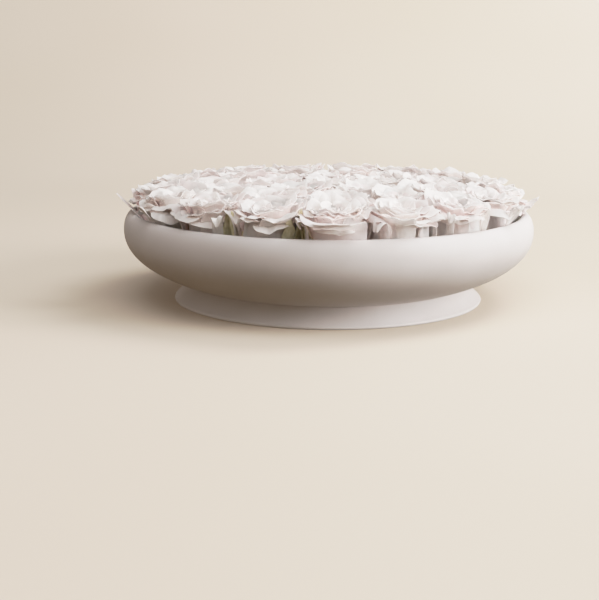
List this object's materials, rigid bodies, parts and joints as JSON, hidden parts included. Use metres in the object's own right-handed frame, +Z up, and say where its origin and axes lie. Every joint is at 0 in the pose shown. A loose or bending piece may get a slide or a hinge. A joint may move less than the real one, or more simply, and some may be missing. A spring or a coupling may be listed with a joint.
{
  "type": "bowl of roses",
  "caption": "Low round ceramic bowl on a flared foot, packed with a low dome of white rose heads that stand in dry floral foam.",
  "frame": {"origin": "middle of the foot, on the surface that the bowl stands on", "axes": "+Z up; the picture's view looks along +Y, with +X to the right"},
  "size_m": [0.36, 0.36, 0.1111],
  "materials": {
    "ceramic": "matte",
    "foam": "matte",
    "petals": "matte"
  },
  "bodies": {
    "root": {"bowl": "ceramic", "floral_foam": "foam", "rose_01": "petals", "rose_02": "petals", "rose_03": "petals", "rose_04": "petals", "rose_05": "petals", "rose_06": "petals", "rose_07": "petals", "rose_08": "petals", "rose_09": "petals", "rose_10": "petals", "rose_11": "petals", "rose_12": "petals", "rose_13": "petals", "rose_14": "petals", "rose_15": "petals", "rose_16": "petals", "rose_17": "petals", "rose_18": "petals", "rose_19": "petals", "rose_20": "petals", "rose_21": "petals", "rose_22": "petals", "rose_23": "petals", "rose_24": "petals", "rose_25": "petals", "rose_26": "petals", "rose_27": "petals", "rose_28": "petals", "rose_29": "petals", "rose_30": "petals", "rose_31": "petals", "rose_32": "petals", "rose_33": "petals", "rose_34": "petals"}
  },
  "joints": []
}
